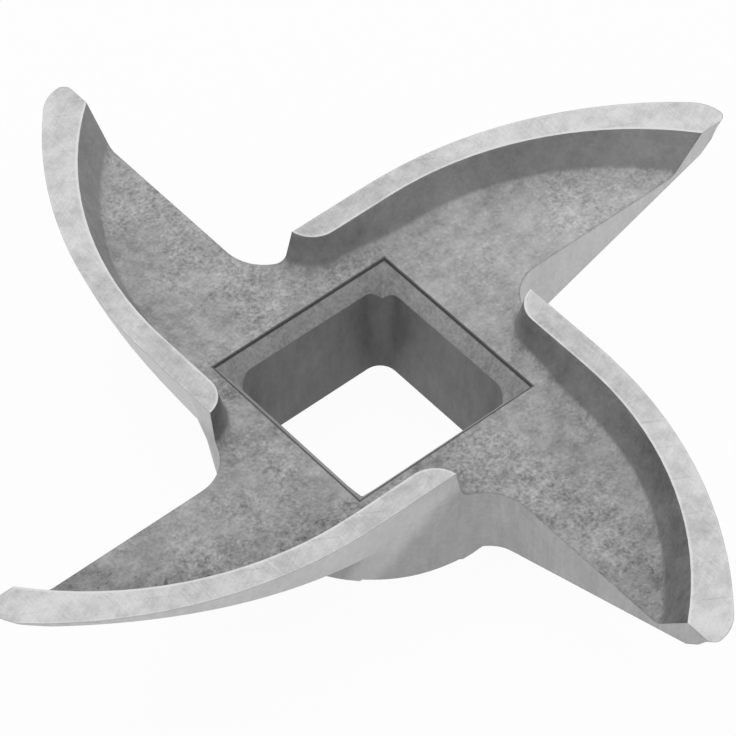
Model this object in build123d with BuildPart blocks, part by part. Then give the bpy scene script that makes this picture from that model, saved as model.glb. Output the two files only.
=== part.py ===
from build123d import *
from math import radians, sqrt, tan
import os

# Four-bladed knife of a meat grinder: one steel casting with ground cutting lands.
# Millimetres. The shaft axis is Z and the cutting lands are on top. The origin is the
# centre of the hub's flat bottom face. The first blade's tip points along +Y, and the
# others are the same blade turned about the axis.

# Overall size
BLADES = 4
TIP_RADIUS = 48.8            # shaft axis to the tips
HEIGHT = 17.0                # hub bottom to the cutting plane

# Plan outline of one blade, at the cutting plane
EDGE_OFFSET = 17.35          # shaft axis to the straight root of the cutting edge
EDGE_BEND = 14.0             # where that straight stretch passes into the sickle curve
BACK_OFFSET = 0.4            # trailing face behind the radial centre line
TIP_ROUND = 4.5              # rounding from the cutting edge into the tip
TIP_INSET = 0.73             # trailing face to the centre of that rounding
TIP_BREAK = 1.0              # smaller rounding from there into the trailing face
TIP_DRAFT = 13.0             # how the tip's end falls back below the land, degrees
ROOT_ROUND = 5.0             # inner corner between a trailing face and the next blade
RAKE = 20.0                  # undercut of the leading face, degrees
RAKE_FROM = 10.0             # where the undercut is full; it runs out at the inner corner
WEB_TIP_SHARE = 0.3          # how much of the tip's rounding the undercut has eaten
LOW_TIP_SHARE = 0.7          # at the web's level, and at the hub's bottom

# Ground land, and the dished web inside it
LAND_HEIGHT = 4.0            # cutting plane above the web
LAND_WIDTH = 2.65            # cutting edge to the land's inner edge, at the root
LAND_BEND = 15.0             # where that edge begins to curve
LAND_END = 3.6               # tip to that edge, along the trailing face
FOOT_WIDTH = 4.65            # the same three for the foot of the land's inner wall
FOOT_BEND = 16.0
FOOT_END = 7.5
FOOT_FILLET = 1.2            # cast fillet between that wall and the web
NOSE_OVERHANG = 0.55         # centre of the land's rounded inner end, past the cutting edge
NOSE_BEND = 7.3
NOSE_RADIUS = 3.2
NOSE_SPREAD = 0.9            # how far the nose spreads down to its foot

# Underside of the blade: a plane that falls towards the hub and the trailing face
BACK_DEPTH = 10.5            # cutting plane to the trailing lower edge, at BACK_STATION
BACK_STATION = 26.0
FALL_TO_HUB = 0.379          # mm per mm along the blade
FALL_TO_BACK = 0.465         # mm per mm across the blade

# Hub
HUB_STEP = 1.55              # root of the cutting edge past the hub's bottom face
HUB_DRAFT = 8.8              # flank, degrees
CORNER_SINK = 0.6            # how far the inner corners run into the hub at the bottom
HUB_BLEND = 2.5              # cast fillet between the flank and the blades' undersides
RIM_BREAK = 0.6              # rounding of the bottom rim

# Square bore for the drive shaft, with a square countersink
BORE_WIDTH = 19.1            # across flats at the bottom face
BORE_DRAFT = 2.2             # each side, opening upwards, degrees
BORE_CORNER = 2.0
MOUTH_WIDTH = 22.6           # at the web
MOUTH_DEPTH = 2.9            # to the point where it has run out in the bore's corners
MOUTH_ANGLE = 34.5           # each side, from the axis, degrees

web_level = HEIGHT - LAND_HEIGHT
turn = 360.0 / BLADES
undercut = tan(radians(RAKE))  # mm per mm of depth
tip_fall = tan(radians(TIP_DRAFT))
hub_slope = tan(radians(HUB_DRAFT))
hub_radius = EDGE_OFFSET - HUB_STEP
nose_offset = EDGE_OFFSET + NOSE_OVERHANG
beyond = 3.0                 # how far cutting shapes run past the metal


def on_circle(centre, radius, x):
    """Upper point of a circle at a given x."""
    return (x, centre[1] + sqrt(radius**2 - (x - centre[0])**2))


def sickle_to_rounding(offset, bend_y, centre, rounding):
    """Radius of the curve that leaves x = -offset at bend_y and runs into a rounding."""
    across = offset + centre[0]
    along = centre[1] - bend_y
    return (across**2 + along**2 - rounding**2) / (2 * (across - rounding))


def sickle_to_back(offset, bend_y, end_y):
    """Radius of the curve that leaves x = -offset at bend_y and meets the trailing face."""
    across = offset - BACK_OFFSET
    along = end_y - bend_y
    return (across**2 + along**2) / (2 * across)


def turned(point, blade):
    """A point or direction of the first blade, carried to another blade."""
    return Vector(*point).rotate(Axis.Z, -turn * blade)


def radially(centre, towards, radius):
    """Point at a given radius from a centre, in the direction of another point."""
    gap = sqrt((towards[0] - centre[0])**2 + (towards[1] - centre[1])**2)
    share = radius / gap
    return (
        centre[0] + (towards[0] - centre[0]) * share,
        centre[1] + (towards[1] - centre[1]) * share,
    )


tip_x = -BACK_OFFSET - TIP_INSET
tip_centre = on_circle((0, 0), TIP_RADIUS - TIP_ROUND, tip_x)
edge_radius = sickle_to_rounding(EDGE_OFFSET, EDGE_BEND, tip_centre, TIP_ROUND)
edge_centre = (edge_radius - EDGE_OFFSET, EDGE_BEND)
tip_start = radially(edge_centre, tip_centre, edge_radius)
break_centre = on_circle(tip_centre, TIP_ROUND - TIP_BREAK, -BACK_OFFSET - TIP_BREAK)
tip_end = radially(tip_centre, break_centre, TIP_ROUND)
tip_back = (-BACK_OFFSET, break_centre[1])


def along_tip(share):
    """Point part of the way along the tip's rounding."""
    return on_circle(tip_centre, TIP_ROUND, tip_start[0] + share * (tip_end[0] - tip_start[0]))


# Inner corner behind a blade: at the top it runs into the next blade's cutting edge,
# at the bottom into the hub
corner_x = ROOT_ROUND - BACK_OFFSET
high_corner = (corner_x, EDGE_OFFSET + ROOT_ROUND)
high_root = (corner_x, EDGE_OFFSET)
low_corner = on_circle((0, 0), hub_radius - CORNER_SINK + ROOT_ROUND, corner_x)
low_root = radially((0, 0), low_corner, hub_radius - CORNER_SINK)


def outline(depth, tip_from, corner, root, along):
    """The knife's outline at a depth below the cutting plane."""
    inset = depth * undercut
    back_y = tip_back[1] - depth * tip_fall
    for blade in range(BLADES):
        root_here = turned(root, blade - 1)
        full = turned((-EDGE_OFFSET + inset, RAKE_FROM), blade)
        bend = turned((-EDGE_OFFSET + inset, EDGE_BEND), blade)
        start = turned(tip_from, blade)
        end = turned((tip_end[0], tip_end[1] - depth * tip_fall), blade)
        back = turned((-BACK_OFFSET, back_y), blade)
        heel = turned((-BACK_OFFSET, corner[1]), blade)
        ahead = turned((0, 1), blade)
        Spline(root_here, full, tangents=(turned(along, blade - 1), ahead))
        Line(full, bend)
        TangentArc(bend, start, tangent=ahead)
        RadiusArc(start, end, TIP_ROUND)
        RadiusArc(end, back, TIP_BREAK)
        Line(back, heel)
        RadiusArc(heel, turned(root, blade), -ROOT_ROUND)


def recess(offset, bend_y, end_gap, nose_radius):
    """Outline of the hollow inside the lands at one level, open past each blade."""
    radius = sickle_to_back(offset, bend_y, TIP_RADIUS - end_gap)
    centre = (radius - offset, bend_y)
    outside = (-nose_offset - beyond, NOSE_BEND - nose_radius)
    for blade in range(BLADES):
        nose_end = turned((-nose_offset, NOSE_BEND - nose_radius), blade)
        nose_start = turned((-nose_offset + nose_radius, NOSE_BEND), blade)
        bend = turned((-offset, bend_y), blade)
        past_tip = turned(on_circle(centre, radius, beyond), blade)
        ahead = turned((0, 1), blade)
        Line(turned(outside, blade), nose_end)
        RadiusArc(nose_end, nose_start, -nose_radius)
        Spline(nose_start, bend, tangents=(ahead, ahead))
        TangentArc(bend, past_tip, tangent=ahead)
        Line(past_tip, turned(outside, blade + 1))


# Hub, without its bore
with BuildPart() as hub:
    Cone(
        hub_radius,
        hub_radius + web_level * hub_slope,
        web_level,
        align=(Align.CENTER, Align.CENTER, Align.MIN),
    )
    fillet(hub.edges().group_by(Axis.Z)[0], RIM_BREAK)

# Space below one blade, outside the hub
under_plane = Plane(
    origin=(-BACK_OFFSET, BACK_STATION, HEIGHT - BACK_DEPTH),
    x_dir=(0, 1, FALL_TO_HUB),
    z_dir=(FALL_TO_BACK, -FALL_TO_HUB, 1),
)
reach = TIP_RADIUS + beyond
side = reach * corner_x / EDGE_OFFSET
with BuildPart() as under_blade:
    with BuildSketch(Plane.XY.offset(-HEIGHT)):
        with BuildLine():
            Polyline((0, 0), (-reach, side), (-reach, reach), (side, reach), close=True)
        make_face()
    extrude(amount=2 * HEIGHT)
    split(bisect_by=under_plane, keep=Keep.BOTTOM)
    Cone(
        hub_radius - HEIGHT * hub_slope,
        hub_radius + HEIGHT * hub_slope,
        2 * HEIGHT,
        mode=Mode.SUBTRACT,
    )
    fillet(under_blade.edges().filter_by(GeomType.ELLIPSE), HUB_BLEND)

# Hollow between the lands, down to the web
with BuildPart() as hollow:
    with BuildSketch(Plane.XY.offset(HEIGHT)):
        with BuildLine():
            recess(EDGE_OFFSET - LAND_WIDTH, LAND_BEND, LAND_END, NOSE_RADIUS)
        make_face()
    with BuildSketch(Plane.XY.offset(web_level)):
        with BuildLine():
            recess(EDGE_OFFSET - FOOT_WIDTH, FOOT_BEND, FOOT_END, NOSE_RADIUS + NOSE_SPREAD)
        make_face()
    loft(ruled=True)
    fillet(hollow.edges().group_by(Axis.Z)[0], FOOT_FILLET)

# The knife
with BuildPart() as grinder_knife:
    with BuildSketch(Plane.XY.offset(HEIGHT)):
        with BuildLine():
            outline(0.0, along_tip(0), high_corner, high_root, (1, 0))
        make_face()
    with BuildSketch(Plane.XY.offset(web_level)):
        with BuildLine():
            outline(
                LAND_HEIGHT, along_tip(WEB_TIP_SHARE), high_corner, high_root, (1, 0)
            )
        make_face()
    with BuildSketch(Plane.XY):
        with BuildLine():
            outline(
                HEIGHT, along_tip(LOW_TIP_SHARE), low_corner, low_root,
                (low_root[1], -low_root[0]),
            )
        make_face()
    loft(ruled=True)
    add(hub.part)
    with PolarLocations(0, BLADES):
        add(under_blade.part, mode=Mode.SUBTRACT)
    add(hollow.part, mode=Mode.SUBTRACT)
    with BuildSketch(Plane.XY):
        RectangleRounded(BORE_WIDTH, BORE_WIDTH, BORE_CORNER)
    extrude(amount=HEIGHT, taper=-BORE_DRAFT, mode=Mode.SUBTRACT)
    with BuildSketch(Plane.XY.offset(web_level)):
        Rectangle(MOUTH_WIDTH, MOUTH_WIDTH)
    extrude(amount=-MOUTH_DEPTH, taper=MOUTH_ANGLE, mode=Mode.SUBTRACT)

grinder_knife.part.label = "grinder_knife"
os.makedirs("parts", exist_ok=True)
export_step(grinder_knife.part, "parts/grinder_knife.step")
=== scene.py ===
import math

import bmesh
import bpy
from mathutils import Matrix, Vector

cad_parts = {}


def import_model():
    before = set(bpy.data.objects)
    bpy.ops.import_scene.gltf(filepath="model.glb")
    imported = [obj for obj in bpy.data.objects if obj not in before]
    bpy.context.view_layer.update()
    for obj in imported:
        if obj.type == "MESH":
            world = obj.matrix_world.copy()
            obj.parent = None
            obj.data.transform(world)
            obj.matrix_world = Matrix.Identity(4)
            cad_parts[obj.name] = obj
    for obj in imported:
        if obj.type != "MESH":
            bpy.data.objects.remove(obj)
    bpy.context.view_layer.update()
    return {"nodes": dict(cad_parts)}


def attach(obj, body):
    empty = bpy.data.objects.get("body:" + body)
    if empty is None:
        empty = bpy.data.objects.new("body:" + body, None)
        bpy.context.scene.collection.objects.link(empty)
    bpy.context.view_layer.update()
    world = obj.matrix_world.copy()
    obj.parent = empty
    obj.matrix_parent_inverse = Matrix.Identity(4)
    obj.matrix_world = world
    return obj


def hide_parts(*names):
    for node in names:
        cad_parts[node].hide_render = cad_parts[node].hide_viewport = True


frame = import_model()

# The mesh and the finishes are worked out in millimetres. The mesh goes back to metres a
# hair smaller, so that rounding of the numbers never puts it outside the solid.
TO_MILLIMETRES = 1000.0
TO_METRES = 0.001 * (1.0 - 1e-6)
MERGE = 0.001                # corners closer than this are one

# Levels and reaches of the casting
TOP = 17.0                   # ground lands
WEB_LEVEL = 13.0
BORE_REACH = 11.6            # the bore and its mouth lie inside this
MOUTH_HALF = 11.3            # axis to the outer edge of the bore's mouth

# Curves of one blade in plan: radius, centre across, and where the curve begins
CUTTING_EDGE = (49.49, 32.14, 14.0)
LAND_INNER_EDGE = (39.04, 24.34, 15.0)
WALL_FOOT = (32.17, 19.47, 16.0)
NOSE_RADIUS, NOSE_ACROSS, NOSE_ALONG = 3.2, -17.9, 7.3
UNDERCUT = 0.364             # leading face, per millimetre of depth
PAST_NOSE = 4.0              # how fast the nose stops counting along the land
SECTOR_FROM = 80.0           # degrees, where the first blade's quarter of the knife begins

# Rounding under the blades' tips
TIP_FROM, TIP_TO = 45.2, 48.2    # where it starts, and where it is full
TIP_DEPTH = 2.0              # below the land, where it is full
TIP_DRAWN_IN = 0.85          # metal missing along the blade
TIP_LIFTED = 0.8             # metal missing from below
TIP_CUTS = 6

# How a face's direction tells its finish: the upward part of its normal
GROUND_UP = 0.95
LEVEL_UP = 0.9
MOUTH_UP = 0.2
SKIN_UP = 0.05
GROUND_SLACK = 0.02          # a land's faces lie this close to the top

# Edges that stay sharp in the shading, in degrees
SHARP = 34.0
SHARP_AT_FINISH = 20.0       # where a ground land or the bore's mouth meets another finish

# Softness that the shading gives to edges, in metres
SOFT_CAST = 0.00035
SOFT_MOUTH = 0.00025
SOFT_GROUND = 0.00012

# Depth of the surface relief, in metres
SKIN_RELIEF = 0.00006
MOUTH_RELIEF = 0.00005
BORE_RELIEF = 0.00004
FLANK_RELIEF = 0.00003
GROUND_RELIEF = 0.000012

# Greys of the finishes, linear
LAND_DARK, LAND_LIGHT = 0.18, 0.58
WEB_DARK, WEB_LIGHT = 0.10, 0.60
# The walls' greys are dark partly as a duller skin and partly as painted shade.
WALL_DARK, WALL_LIGHT = 0.06, 0.34
BORE_DARK, BORE_LIGHT = 0.07, 0.41
MOUTH_DARK, MOUTH_LIGHT = 0.13, 0.60
FLANK_DARK, FLANK_LIGHT = 0.28, 0.72
# Greys of the painted shade line round the mouth of the bore
SHADE_LINE_ON_SKIN, SHADE_LINE_ON_MOUTH = 0.04, 0.015
TABLE_GREY = 0.85
LAND_METAL = 0.35
CAST_METAL = 0.15

# Light, and the table, in metres and watts
SKY = 0.6
WHITE = 1.0
KEY_PLACE, KEY_SIZE, KEY_POWER = (0.35, 0.45, 0.80), 1.2, 3.5
FILL_PLACE, FILL_SIZE, FILL_POWER = (-0.7, 0.1, 0.6), 0.6, 0.6
TABLE_SIZE = 8.0
TABLE_LEVEL = -0.00002
FLOOR_GLOW = 0.95

CAST, LAND, BORE, FLANK, MOUTH = range(5)


class Wire:
    """One output of a shader node, so that shader maths reads as plain arithmetic."""

    def __init__(self, shader, socket):
        self.shader = shader
        self.socket = socket

    def maths(self, operation, *others):
        return self.shader.node(
            "ShaderNodeMath", {"operation": operation}, dict(enumerate((self,) + others)),
        )

    def __add__(self, other):
        return self.maths("ADD", other)

    __radd__ = __add__

    def __sub__(self, other):
        return self.maths("SUBTRACT", other)

    def __rsub__(self, other):
        return (self * -1.0) + other

    def __mul__(self, other):
        return self.maths("MULTIPLY", other)

    __rmul__ = __mul__

    def __truediv__(self, other):
        return self.maths("DIVIDE", other)

    def absolute(self):
        return self.maths("ABSOLUTE")

    def larger(self, other):
        return self.maths("MAXIMUM", other)

    def smaller(self, other):
        return self.maths("MINIMUM", other)

    def swing(self):
        """A noise's value moved down, so that it varies around 0."""
        return self - 0.5

    def between(self, low, high):
        """0 below low, 1 above high, smooth in between."""
        return self.shader.node(
            "ShaderNodeMapRange", {"interpolation_type": "SMOOTHSTEP"},
            {"Value": self, "From Min": low, "From Max": high},
        )


class Shader:
    """The nodes of a material or of the world, with one method that makes any node."""

    def __init__(self, owner, end="ShaderNodeOutputMaterial"):
        owner.use_nodes = True
        self.owner = owner
        self.end = end
        self.tree = owner.node_tree
        self.tree.nodes.clear()

    def node(self, kind, settings=None, inputs=None, output=0):
        made = self.tree.nodes.new(kind)
        for setting, value in (settings or {}).items():
            setattr(made, setting, value)
        for socket, value in (inputs or {}).items():
            if isinstance(value, Wire):
                self.tree.links.new(value.socket, made.inputs[socket])
            else:
                made.inputs[socket].default_value = value
        return Wire(self, made.outputs[output]) if len(made.outputs) else None

    def place(self):
        """Position on the object, in millimetres."""
        here = self.node("ShaderNodeTexCoord", output="Object")
        return self.vector("SCALE", here, Scale=TO_MILLIMETRES)

    def parts(self, where):
        """The three coordinates of a position."""
        return [self.node("ShaderNodeSeparateXYZ", None, {0: where}, axis) for axis in range(3)]

    def in_blade(self, where):
        """The same position carried into the first blade, whose tip points along +Y."""
        x, y, _ = self.parts(where)
        from_start = y.maths("ARCTAN2", x) - math.radians(SECTOR_FROM)
        sector = (from_start / (math.pi / 2)).maths("FLOOR")
        return self.node(
            "ShaderNodeVectorRotate", {"rotation_type": "Z_AXIS"},
            {"Vector": where, "Angle": sector * (-math.pi / 2)},
        )

    def length(self, x, y):
        """Length of a step given across and along."""
        pair = self.node("ShaderNodeCombineXYZ", None, {"X": x, "Y": y})
        return self.vector("LENGTH", pair, output=1)

    def inside(self, x, y, curve):
        """Millimetres from one of a blade's curves, growing towards the trailing face."""
        radius, across, along = curve
        return radius - self.length(x - across, (y - along).larger(0.0))

    def vector(self, operation, first, second=None, output=0, **inputs):
        sockets = {0: first, **inputs}
        if second is not None:
            sockets[1] = second
        return self.node("ShaderNodeVectorMath", {"operation": operation}, sockets, output)

    def noise(self, where, scale, detail=2.0, roughness=0.5):
        return self.node(
            "ShaderNodeTexNoise", None,
            {"Vector": where, "Scale": scale, "Detail": detail, "Roughness": roughness},
        )

    def mix(self, share, first, second):
        """A colour between two others. Inputs 6 and 7 and output 2 are the colour ones."""
        return self.node(
            "ShaderNodeMix", {"data_type": "RGBA"},
            {"Factor": share, 6: first, 7: second}, output=2,
        )

    def turned(self, where, degrees):
        return self.node(
            "ShaderNodeVectorRotate", {"rotation_type": "Z_AXIS"},
            {"Vector": where, "Angle": math.radians(degrees)},
        )

    def stretched(self, where, x, y, z):
        return self.vector("MULTIPLY", where, (x, y, z))

    def relief(self, height, depth, rounding):
        """Surface relief on edges that are rounded off by the given radius."""
        soft = self.node("ShaderNodeBevel", {"samples": 6}, {"Radius": rounding})
        return self.node(
            "ShaderNodeBump", None, {"Height": height, "Distance": depth, "Normal": soft},
        )

    def steel(self, colour, roughness, metallic, normal):
        """A finished steel surface."""
        return self.finish(self.node(
            "ShaderNodeBsdfPrincipled", None,
            {"Base Color": colour, "Roughness": roughness, "Metallic": metallic, "Normal": normal},
        ))

    def shown(self):
        """1 where the camera looks, also through glass or in a reflection; 0 for light."""
        seen = self.node("ShaderNodeLightPath", output="Is Camera Ray")
        glossy = self.node("ShaderNodeLightPath", output="Is Glossy Ray")
        through = self.node("ShaderNodeLightPath", output="Is Transmission Ray")
        return seen.larger(glossy.larger(through))

    def finish(self, surface):
        self.node(self.end, None, {"Surface": surface})
        return self.owner


def material(name):
    return Shader(bpy.data.materials.new(name))


def grey(value):
    return (value, value, value, 1.0)


def scratches(shader, where, angle, width, length, share):
    """Fine parallel scratches at one angle: 1 on a scratch, 0 elsewhere."""
    lined_up = shader.turned(where, angle)
    lines = shader.noise(shader.stretched(lined_up, 1.0 / length, 1.0 / width, 1.0), 1.0, 1.0)
    return lines.between(share, share + 0.06)


def mouth_shade_line(shader, where, half_width):
    """A thin line of painted shade round the outer edge of the bore's mouth: 1 on it, 0 elsewhere.
    """
    x, y, z = shader.parts(where)
    out = x.absolute().larger(y.absolute()) - MOUTH_HALF
    near = 1.0 - out.absolute().between(half_width * 0.5, half_width)
    return near * z.between(WEB_LEVEL - 0.4, WEB_LEVEL - 0.3)


def ground_steel():
    """Surface-ground lands: bright, clouded, with fine crossing scratches, a burnished rim that is
    also a painted highlight, a painted highlight along the cutting edge, and painted light towards
    +X.
    """
    s = material("ground_steel")
    where = s.place()
    # Painted light: how far towards +X, which makes the lands lighter where the light falls.
    painted_light_eastward, _, _ = s.parts(where)
    x, y, _ = s.parts(s.in_blade(where))
    from_edge = s.inside(x, y, CUTTING_EDGE)
    from_inner = s.inside(x, y, LAND_INNER_EDGE) * -1.0
    past_nose = y - NOSE_ALONG
    from_nose = NOSE_RADIUS - s.length(x - NOSE_ACROSS, past_nose.smaller(0.0))
    # Past the nose, only the land's inner edge counts
    from_nose = from_nose + past_nose.larger(0.0) * PAST_NOSE
    # Round the land's inner edge and nose: a burnished rim, less rough, and lighter as a painted
    # highlight.
    rim = 1.0 - from_inner.smaller(from_nose).between(0.10, 0.34)
    # Along the cutting edge: a painted highlight.
    edge = 1.0 - from_edge.between(0.06, 0.30)
    fine = s.noise(s.stretched(s.turned(where, 4.0), 5.0, 0.30, 1.0), 1.0, 3.0, 0.65)
    cross = s.noise(s.stretched(s.turned(where, 62.0), 4.0, 0.24, 1.0), 1.0, 3.0, 0.6)
    cloud = s.noise(where, 0.20, 3.0, 0.6)
    blotch = s.noise(where, 0.75, 3.0, 0.65)
    fleck = s.noise(where, 3.4, 2.0, 0.6)
    deep = scratches(s, where, 88.0, 0.30, 9.0, 0.66)
    dull = scratches(s, where, 30.0, 0.34, 7.0, 0.67)
    tone = (
        cloud.swing() * 0.95 + blotch.swing() * 0.80 + fleck.swing() * 0.30
        + fine.swing() * 0.42 + cross.swing() * 0.36
        + deep * 0.16 - dull * 0.16 + rim * 0.30 + edge * 0.14
        + y.between(4.0, 34.0) * 0.20 + painted_light_eastward.between(6.0, 48.0) * 0.12 + 0.56
    )
    colour = s.mix(tone, grey(LAND_DARK), grey(LAND_LIGHT))
    rough = fine * 0.14 + cloud * 0.14 + 0.30 - rim * 0.06
    height = fine * 0.5 + cross * 0.4 + blotch * 0.4 - deep * 0.5 - dull * 0.4
    return s.steel(colour, rough, LAND_METAL, s.relief(height, GROUND_RELIEF, SOFT_GROUND))


def cast_skin():
    """As-cast skin: gritty, mottled and dull, darker on the walls that rise to the lands, partly
    as a duller skin and partly as painted shade; painted light and shade also vary it across the
    knife.
    """
    s = material("cast_skin")
    where = s.place()
    x, y, z = s.parts(where)
    across, along, _ = s.parts(s.in_blade(where))
    from_foot = s.inside(across, along, WALL_FOOT)
    risen = z.between(WEB_LEVEL + 0.25, WEB_LEVEL + 0.75)
    grit = s.noise(where, 2.6, 2.0, 0.65)
    coarse = s.noise(where, 1.15, 3.0, 0.6)
    cloud = s.noise(where, 0.16, 4.0, 0.6)
    specks = s.noise(where, 1.9, 1.0, 0.5).between(0.62, 0.70)
    pits = s.noise(where, 2.1, 1.0, 0.5).between(0.36, 0.28)
    # Painted shade: a darker band along the foot of the walls towards -X and -Y, where the walls
    # shade the web, with darker pits in it.
    shaded = (1.0 - from_foot.between(1.2, 5.5)) * (y * -1.0 - x).between(10.0, 42.0)
    # Painted light: the webs lighter towards +X and a little towards +Y, where the light falls.
    lit = (x * 0.8 + y * 0.3).between(-8.0, 38.0)
    blobs = s.noise(where, 0.62, 2.0, 0.5)
    rougher = s.noise(where, 0.11, 2.0, 0.5).between(0.40, 0.62)
    tone = (
        (grit.swing() * 0.85 + coarse.swing() * 0.60) * (rougher * 0.75 + 0.55)
        + cloud.swing() * 0.60 + blobs.swing() * 0.55
        + specks * 0.12 - pits * 0.16 * (shaded + 0.4) - shaded * 0.15 + lit * 0.25 + 0.44
    )
    skin = s.mix(tone, grey(WEB_DARK), grey(WEB_LIGHT))
    # Painted light: the walls lighter towards +X and +Y, where the light falls. They are also
    # darker towards the top, just under the lands.
    sunny = (x + y).between(-35.0, 35.0)
    wall_tone = (
        grit.swing() * 0.35 + coarse.swing() * 0.35 + cloud.swing() * 0.8 + blobs.swing() * 0.4
        + sunny * 0.34 + z.between(TOP - 0.6, WEB_LEVEL + 0.6) * 0.10 + 0.34
    )
    wall = s.mix(wall_tone, grey(WALL_DARK), grey(WALL_LIGHT))
    # Painted shade: a thin dark line round the outer edge of the bore's mouth.
    line = mouth_shade_line(s, where, 0.22)
    colour = s.mix(line * 0.8, s.mix(risen, skin, wall), grey(SHADE_LINE_ON_SKIN))
    rough = coarse * 0.2 + 0.55
    height = grit * 0.6 + coarse * 0.8
    return s.steel(colour, rough, CAST_METAL, s.relief(height, SKIN_RELIEF, SOFT_CAST))


def cast_bore():
    """Walls of the square bore: smoother, with painted shade darkest where two of them meet."""
    s = material("cast_bore")
    where = s.place()
    x, y, _ = s.parts(where)
    grit = s.noise(where, 2.4, 2.0, 0.6)
    streaks = s.noise(s.stretched(where, 0.9, 0.9, 0.25), 1.0, 3.0, 0.6)
    cloud = s.noise(where, 0.25, 3.0, 0.55)
    # Painted shade: darker where two walls of the bore meet.
    painted_corner_shade = x.absolute().smaller(y.absolute()).between(4.5, 8.6)
    tone = (
        grit.swing() * 0.22 + streaks.swing() * 0.40 + cloud.swing() * 0.6
        - painted_corner_shade * 0.20 + 0.52
    )
    colour = s.mix(tone, grey(BORE_DARK), grey(BORE_LIGHT))
    height = grit * 0.8 + streaks * 0.6
    rough = cloud * 0.2 + 0.45
    return s.steel(colour, rough, CAST_METAL, s.relief(height, BORE_RELIEF, SOFT_MOUTH))


def bore_mouth():
    """The countersink of the bore: gritty, with a thin line of painted shade round its outer edge.
    """
    s = material("bore_mouth")
    where = s.place()
    grit = s.noise(where, 2.8, 2.0, 0.65)
    coarse = s.noise(where, 1.1, 3.0, 0.6)
    cloud = s.noise(where, 0.2, 3.0, 0.55)
    tone = grit.swing() * 0.75 + coarse.swing() * 0.45 + cloud.swing() * 0.5 + 0.5
    colour = s.mix(tone, grey(MOUTH_DARK), grey(MOUTH_LIGHT))
    # Painted shade: a thin dark line round the outer edge of the mouth.
    colour = s.mix(mouth_shade_line(s, where, 0.20) * 0.9, colour, grey(SHADE_LINE_ON_MOUTH))
    height = grit * 0.7 + coarse * 0.6
    rough = cloud * 0.2 + 0.5
    return s.steel(colour, rough, CAST_METAL, s.relief(height, MOUTH_RELIEF, SOFT_MOUTH))


def cast_flank():
    """Smoother outer walls, with faint streaks up and down; the leading faces are palest, partly
    as a smoother finish and partly as painted light, and painted light makes the flanks lighter
    towards +X.
    """
    s = material("cast_flank")
    where = s.place()
    x, y, z = s.parts(where)
    across, along, _ = s.parts(s.in_blade(where))
    off_edge = s.inside(across, along, CUTTING_EDGE) - (TOP - z) * UNDERCUT
    leading = 1.0 - off_edge.absolute().between(0.5, 1.6)
    # Painted light: the leading faces are palest, partly as a smoother finish and partly as
    # painted light; the flanks are lighter towards +X as painted light.
    trailing = x.between(4.0, 14.0)
    grit = s.noise(where, 1.9, 2.0, 0.6)
    streaks = s.noise(s.stretched(where, 1.3, 1.3, 0.14), 1.0, 3.0, 0.6)
    cloud = s.noise(where, 0.22, 3.0, 0.55)
    tone = (
        grit.swing() * 0.35 + streaks.swing() * 0.45 + cloud.swing() * 0.45
        + leading * 0.42 + trailing * (1.0 - leading) * 0.44 + 0.43
    )
    colour = s.mix(tone, grey(FLANK_DARK), grey(FLANK_LIGHT))
    height = grit * 0.6 + streaks * 0.8
    rough = cloud * 0.2 + 0.42
    return s.steel(colour, rough, CAST_METAL, s.relief(height, FLANK_RELIEF, SOFT_CAST))


def region(face):
    """Which finish a face of the casting has."""
    middle, up = face.calc_center_median(), face.normal.z
    if middle.z > TOP - GROUND_SLACK and up > GROUND_UP:
        return LAND
    near_axis = max(abs(middle.x), abs(middle.y)) < BORE_REACH
    faces_axis = face.normal.x * middle.x + face.normal.y * middle.y < 0.0
    if near_axis and faces_axis and abs(up) < LEVEL_UP:
        return MOUTH if up > MOUTH_UP else BORE
    return CAST if up > SKIN_UP else FLANK


def eased(value, low, high):
    """0 below low, 1 above high, even in between."""
    return min(1.0, max(0.0, (value - low) / (high - low)))


def round_tips(work):
    """Rounds off the lower corners of the blades' tips; the lands keep their outline."""
    step = (TIP_TO - TIP_FROM) / TIP_CUTS
    for cut in range(TIP_CUTS):
        out = TIP_FROM + cut * step
        for ahead in ((1, 0, 0), (0, 1, 0), (-1, 0, 0), (0, -1, 0)):
            bmesh.ops.bisect_plane(
                work, geom=work.verts[:] + work.edges[:] + work.faces[:], dist=MERGE,
                plane_co=Vector(ahead) * out, plane_no=ahead,
            )
    bmesh.ops.triangulate(work, faces=[face for face in work.faces if len(face.verts) > 3])
    for vert in work.verts:
        if {LAND, CAST} & {face.material_index for face in vert.link_faces}:
            continue
        x, y, z = vert.co
        along = Vector((x, 0.0, 0.0)) if abs(x) > abs(y) else Vector((0.0, y, 0.0))
        share = eased(along.length, TIP_FROM, TIP_TO) * eased(TOP - z, 0.0, TIP_DEPTH)
        lifted = Vector((0.0, 0.0, TIP_LIFTED))
        if share > 0.0:
            vert.co += share * (lifted - along.normalized() * TIP_DRAWN_IN)


def sharpen(work):
    """Keeps the corners of the casting sharp in the shading, and smooths the curves."""
    for edge in work.edges:
        finishes = {face.material_index for face in edge.link_faces}
        at_finish = finishes & {LAND, MOUTH} and len(finishes) > 1
        limit = SHARP_AT_FINISH if at_finish else SHARP
        edge.smooth = edge.calc_face_angle(0.0) < math.radians(limit)


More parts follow.
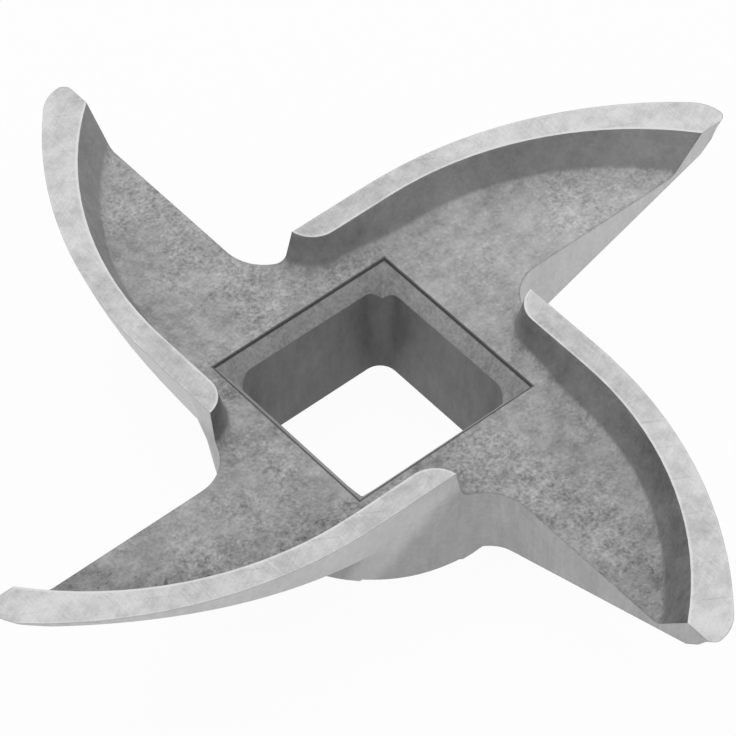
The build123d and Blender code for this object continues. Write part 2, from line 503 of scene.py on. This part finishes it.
def shape(mesh):
    """Tells the finishes of the casting's faces apart, and rounds its tips."""
    work = bmesh.new()
    work.from_mesh(mesh)
    bmesh.ops.scale(work, vec=(TO_MILLIMETRES,) * 3, verts=work.verts)
    bmesh.ops.remove_doubles(work, verts=work.verts, dist=MERGE)
    work.normal_update()
    for face in work.faces:
        face.material_index = region(face)
        face.smooth = face.material_index != LAND
    round_tips(work)
    work.normal_update()
    sharpen(work)
    bmesh.ops.scale(work, vec=(TO_METRES,) * 3, verts=work.verts)
    work.to_mesh(mesh)
    work.free()


def evenly_shaded(piece):
    """The piece's mesh with normals weighted by area, so that long curved faces shade evenly."""
    even = piece.modifiers.new("even_shading", "WEIGHTED_NORMAL")
    even.keep_sharp = True
    bpy.context.view_layer.update()
    view = bpy.context.evaluated_depsgraph_get()
    shaded = bpy.data.meshes.new_from_object(piece.evaluated_get(view))
    piece.modifiers.clear()
    return shaded


def knife():
    """The casting, in place of its plain solid."""
    mesh = frame["nodes"]["grinder_knife"].data.copy()
    piece = bpy.data.objects.new("knife_casting", mesh)
    bpy.context.scene.collection.objects.link(piece)
    mesh.materials.clear()
    for finish in (cast_skin(), ground_steel(), cast_bore(), cast_flank(), bore_mouth()):
        mesh.materials.append(finish)
    shape(mesh)
    piece.data = evenly_shaded(piece)
    piece.data.name = "knife_casting"
    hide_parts("grinder_knife")
    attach(piece, "root")


def floor():
    """A wide white table that keeps the knife's soft shadow."""
    bpy.ops.mesh.primitive_plane_add(size=TABLE_SIZE, location=(0, 0, TABLE_LEVEL))
    table = bpy.context.object
    table.name = "table"
    s = material("white_table")
    matt = s.node("ShaderNodeBsdfDiffuse", None, {"Color": grey(TABLE_GREY)})
    glow = s.node("ShaderNodeEmission", None, {"Color": grey(WHITE), "Strength": 1.0})
    both = s.node("ShaderNodeMixShader", None, {0: s.shown() * FLOOR_GLOW, 1: matt, 2: glow})
    table.data.materials.append(s.finish(both))


def lamp(name, place, size, power):
    """A soft round lamp that points at the knife."""
    light = bpy.data.lights.new(name, "AREA")
    light.shape = "DISK"
    light.size = size
    light.energy = power
    holder = bpy.data.objects.new(name, light)
    holder.location = place
    holder.rotation_euler = (-Vector(place)).to_track_quat("-Z", "Y").to_euler()
    bpy.context.scene.collection.objects.link(holder)


def world():
    """An even sky that lights the knife, and looks white to the camera."""
    sky = bpy.data.worlds.new("studio")
    bpy.context.scene.world = sky
    s = Shader(sky, "ShaderNodeOutputWorld")
    dim = s.node("ShaderNodeBackground", None, {"Color": grey(WHITE), "Strength": SKY})
    bright = s.node("ShaderNodeBackground", None, {"Color": grey(WHITE), "Strength": 1.0})
    s.finish(s.node("ShaderNodeMixShader", None, {0: s.shown(), 1: dim, 2: bright}))


def camera():
    """A long lens, high above the corner between the third and fourth blades."""
    data = bpy.data.cameras.new("camera")
    data.lens = 225.5
    data.sensor_width = 36.0
    data.clip_start = 0.01
    holder = bpy.data.objects.new("camera", data)
    holder.location = (-0.1952, -0.2274, 0.3620)
    holder.rotation_euler = (math.radians(40.757), 0.0, math.radians(-40.56))
    bpy.context.scene.collection.objects.link(holder)
    bpy.context.scene.camera = holder


knife()
floor()
lamp("key", KEY_PLACE, KEY_SIZE, KEY_POWER)
lamp("fill", FILL_PLACE, FILL_SIZE, FILL_POWER)
world()
camera()
bpy.context.scene.view_settings.view_transform = "Standard"

bpy.context.view_layer.update()
